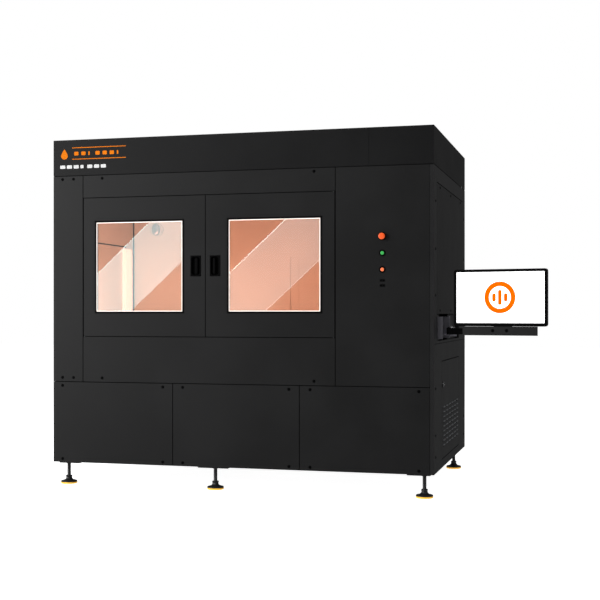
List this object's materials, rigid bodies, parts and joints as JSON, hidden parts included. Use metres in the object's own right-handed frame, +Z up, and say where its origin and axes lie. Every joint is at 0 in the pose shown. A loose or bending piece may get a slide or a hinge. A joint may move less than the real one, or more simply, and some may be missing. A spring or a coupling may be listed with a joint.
{
  "type": "resin printer",
  "caption": "Large floor-standing laser resin printer: black sheet-metal cabinet with two amber-window doors, control column, louvred side door and a monitor on a jointed arm.",
  "frame": {"origin": "on the floor under the middle of the bounding box", "axes": "+X to the operator's right along the front, +Y from the front to the back, +Z up"},
  "size_m": [3.1786, 1.7644, 2.25],
  "materials": {
    "body_paint": "fine-textured satin powder coat, near-black",
    "header_paint": "satin powder coat, darker black",
    "frame_paint": "powder coated box section",
    "black_plastic": "moulded, fine grain",
    "amber_acrylic": "amber laser-blocking acrylic with a film",
    "chamber_white": "semi-gloss white",
    "stainless": "brushed",
    "aluminium": "anodised",
    "steel": "ground",
    "foot_black": "black oxide, yellow rubber sole",
    "red_plastic": "moulded mushroom head",
    "green_lens": "translucent push-button lens",
    "orange_lens": "translucent push-button lens",
    "screen_glass": "lit display"
  },
  "bodies": {
    "root": {"frame": "frame_paint", "foot_front_left": "foot_black", "foot_front_middle": "foot_black", "foot_front_right": "foot_black", "foot_rear_left": "foot_black", "foot_rear_middle": "foot_black", "foot_rear_right": "foot_black", "base_panel_left": "body_paint", "base_panel_centre": "body_paint", "base_panel_right": "body_paint", "left_column_panel": "body_paint", "lower_front_panel": "body_paint", "upper_front_panel": "body_paint", "control_panel": "body_paint", "header_left": "header_paint", "header_right": "header_paint", "roof_panel": "header_paint", "side_surround_right": "body_paint", "side_service_panel": "body_paint", "side_panel_left": "body_paint", "rear_panel": "body_paint", "left_door_pin": "steel", "right_door_pin": "steel", "chamber_wall_left": "chamber_white", "chamber_wall_right": "chamber_white", "chamber_wall_rear": "chamber_white", "chamber_ceiling": "aluminium", "work_deck": "stainless", "scan_head_left": "aluminium", "scan_head_right": "aluminium", "resin_vat": "stainless", "z_column": "frame_paint", "z_motor": "black_plastic", "recoater_rail_left": "steel", "recoater_rail_right": "steel", "controller_box": "aluminium", "arm_bracket": "aluminium"},
    "left_door": {"left_door": "body_paint", "left_door_glass": "amber_acrylic", "left_door_handle": "black_plastic"},
    "right_door": {"right_door": "body_paint", "right_door_glass": "amber_acrylic", "right_door_handle": "black_plastic"},
    "access_door": {"access_door": "body_paint"},
    "access_latch": {"access_latch": "steel"},
    "estop_button": {"estop_stem": "black_plastic"},
    "estop_head": {"estop_cap": "red_plastic"},
    "start_button": {"start_button": "green_lens"},
    "pause_button": {"pause_button": "orange_lens"},
    "elevator": {"z_carriage": "aluminium", "build_platform": "stainless"},
    "z_screw": {"z_screw": "steel"},
    "recoater": {"recoater_beam": "aluminium", "recoater_blade": "steel"},
    "arm_lower": {"arm_link_lower": "body_paint"},
    "arm_upper": {"arm_link_upper": "body_paint"},
    "monitor_head": {"arm_head": "body_paint"},
    "monitor": {"monitor_housing": "black_plastic", "monitor_screen": "screen_glass"},
    "keyboard_tray_slide": {"keyboard_tray": "body_paint"}
  },
  "joints": [
    {"name": "left_door_hinge", "type": "hinge", "parent": "root", "child": "left_door", "pos_m": [-1.3677, -0.6588, 1.42], "axis": [0, 0, -1], "range_deg": [0, 110]},
    {"name": "right_door_hinge", "type": "hinge", "parent": "root", "child": "right_door", "pos_m": [0.2873, -0.6588, 1.42], "axis": [0, 0, 1], "range_deg": [0, 110]},
    {"name": "access_door_hinge", "type": "hinge", "parent": "root", "child": "access_door", "pos_m": [0.8988, 0.5082, 0.512], "axis": [0, 0, 1], "range_deg": [0, 100]},
    {"name": "access_latch_turn", "type": "hinge", "parent": "access_door", "child": "access_latch", "pos_m": [0.9078, -0.2908, 0.67], "axis": [1, 0, 0], "range_deg": [0, 90]},
    {"name": "estop_press", "type": "slide", "parent": "root", "child": "estop_button", "axis": [0, 1, 0], "range_m": [0, 0.006], "stiffness_N_per_m": 2500},
    {"name": "estop_twist", "type": "hinge", "parent": "estop_button", "child": "estop_head", "pos_m": [0.5938, -0.6818, 1.587], "axis": [0, 1, 0], "range_deg": [0, 45], "stiffness_Nm_per_rad": 0.05},
    {"name": "start_press", "type": "slide", "parent": "root", "child": "start_button", "axis": [0, 1, 0], "range_m": [0, 0.004], "stiffness_N_per_m": 800},
    {"name": "pause_press", "type": "slide", "parent": "root", "child": "pause_button", "axis": [0, 1, 0], "range_m": [0, 0.004], "stiffness_N_per_m": 800},
    {"name": "elevator_lift", "type": "slide", "parent": "root", "child": "elevator", "axis": [0, 0, 1], "range_m": [0, 0.5]},
    {"name": "z_screw_turn", "type": "hinge", "parent": "root", "child": "z_screw", "pos_m": [-0.6177, 0.5092, 1.227], "axis": [0, 0, -1], "range_deg": [0, 9001]},
    {"name": "recoater_travel", "type": "slide", "parent": "root", "child": "recoater", "axis": [0, 1, 0], "range_m": [0, 0.83]},
    {"name": "arm_base_swing", "type": "hinge", "parent": "root", "child": "arm_lower", "pos_m": [0.9528, -0.2178, 1.0076], "axis": [0, 0, 1], "range_deg": [-10, 60]},
    {"name": "arm_elbow", "type": "hinge", "parent": "arm_lower", "child": "arm_upper", "pos_m": [1.2674, -0.3929, 1.028], "axis": [0, 0, 1], "range_deg": [-5, 75]},
    {"name": "monitor_pan", "type": "hinge", "parent": "arm_upper", "child": "monitor_head", "pos_m": [1.3316, -0.7268, 1.09], "axis": [0, 0, 1], "range_deg": [-10, 60]},
    {"name": "monitor_tilt", "type": "hinge", "parent": "monitor_head", "child": "monitor", "pos_m": [1.3196, -0.7835, 1.21], "axis": [-0.9781, 0.2079, 0], "range_deg": [-5, 12]},
    {"name": "tray_slide", "type": "slide", "parent": "monitor_head", "child": "keyboard_tray_slide", "axis": [-0.2079, -0.9781, 0], "range_m": [0, 0.1]}
  ],
  "couplings": [
    {"joint": "z_screw_turn", "follows": "elevator_lift", "rad_per_m": 314.16}
  ]
}
